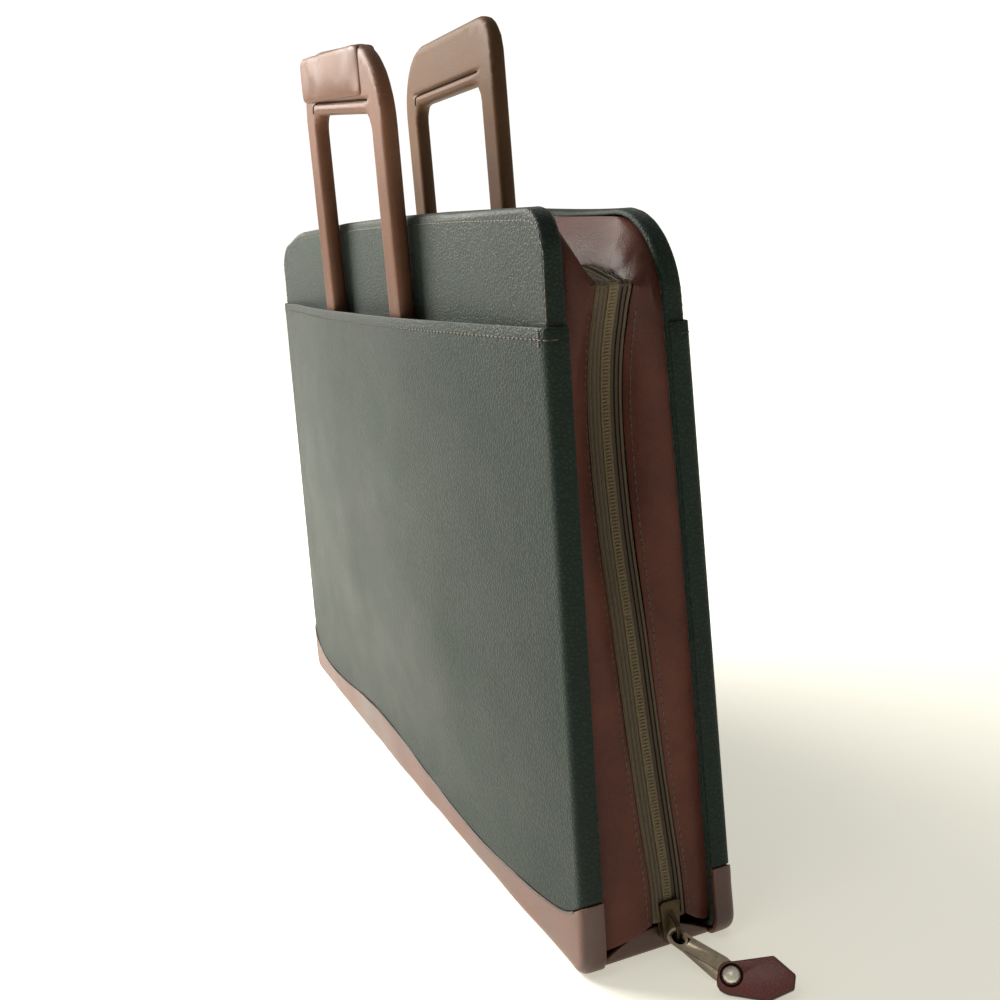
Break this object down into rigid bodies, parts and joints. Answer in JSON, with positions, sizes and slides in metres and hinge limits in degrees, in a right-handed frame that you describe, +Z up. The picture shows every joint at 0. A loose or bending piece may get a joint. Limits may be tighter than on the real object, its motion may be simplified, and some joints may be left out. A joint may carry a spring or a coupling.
{
  "type": "slim zip-around attache case with drop-in handles",
  "caption": "Slim leather attache case that stands on its base, with a zip round three sides, slip pockets and flat handles that slide down into them.",
  "frame": {"origin": "middle of the underside of the base, on the surface that the case stands on", "axes": "+X along the case's width towards the end with the zip's slider, -Y towards the front, +Z up"},
  "size_m": [0.4794, 0.0872, 0.3953],
  "materials": {
    "green_leather": "pebbled grain, semi-matt, dark grey-green",
    "brown_leather": "smooth, worn semi-gloss, reddish brown",
    "handle_leather": "smooth, worn semi-gloss, warm brown",
    "burgundy_leather": "soft, glossy folds, dark burgundy",
    "zip_tape": "woven olive-brown tape",
    "zip_metal": "aged bronze",
    "pull_metal": "pale gilt, worn bright"
  },
  "bodies": {
    "case": {"front_board": "green_leather", "back_board": "green_leather", "front_pocket": "green_leather", "back_pocket": "green_leather", "front_trim": "brown_leather", "back_trim": "brown_leather", "base_strip": "brown_leather", "front_gusset": "burgundy_leather", "back_gusset": "burgundy_leather", "front_zip_tape": "zip_tape", "back_zip_tape": "zip_tape", "zip_chain": "zip_metal", "zip_slider": "zip_metal"},
    "front_grip": {"front_handle": "handle_leather", "front_grip_wrap": "handle_leather"},
    "back_grip": {"back_handle": "handle_leather"},
    "pull": {"zip_pull": "pull_metal", "pull_rivet": "pull_metal", "pull_tab": "burgundy_leather"}
  },
  "joints": [
    {"name": "front_handle_slide", "type": "slide", "parent": "case", "child": "front_grip", "axis": [0, 0.0197, 0.9998], "range_m": [-0.095, 0]},
    {"name": "back_handle_slide", "type": "slide", "parent": "case", "child": "back_grip", "axis": [0, -0.0197, 0.9998], "range_m": [-0.095, 0]},
    {"name": "zip_pull_hinge", "type": "hinge", "parent": "case", "child": "pull", "pos_m": [0.22205, 0.004, 0.01172], "axis": [0, 1, 0], "range_deg": [-55, 0]}
  ]
}
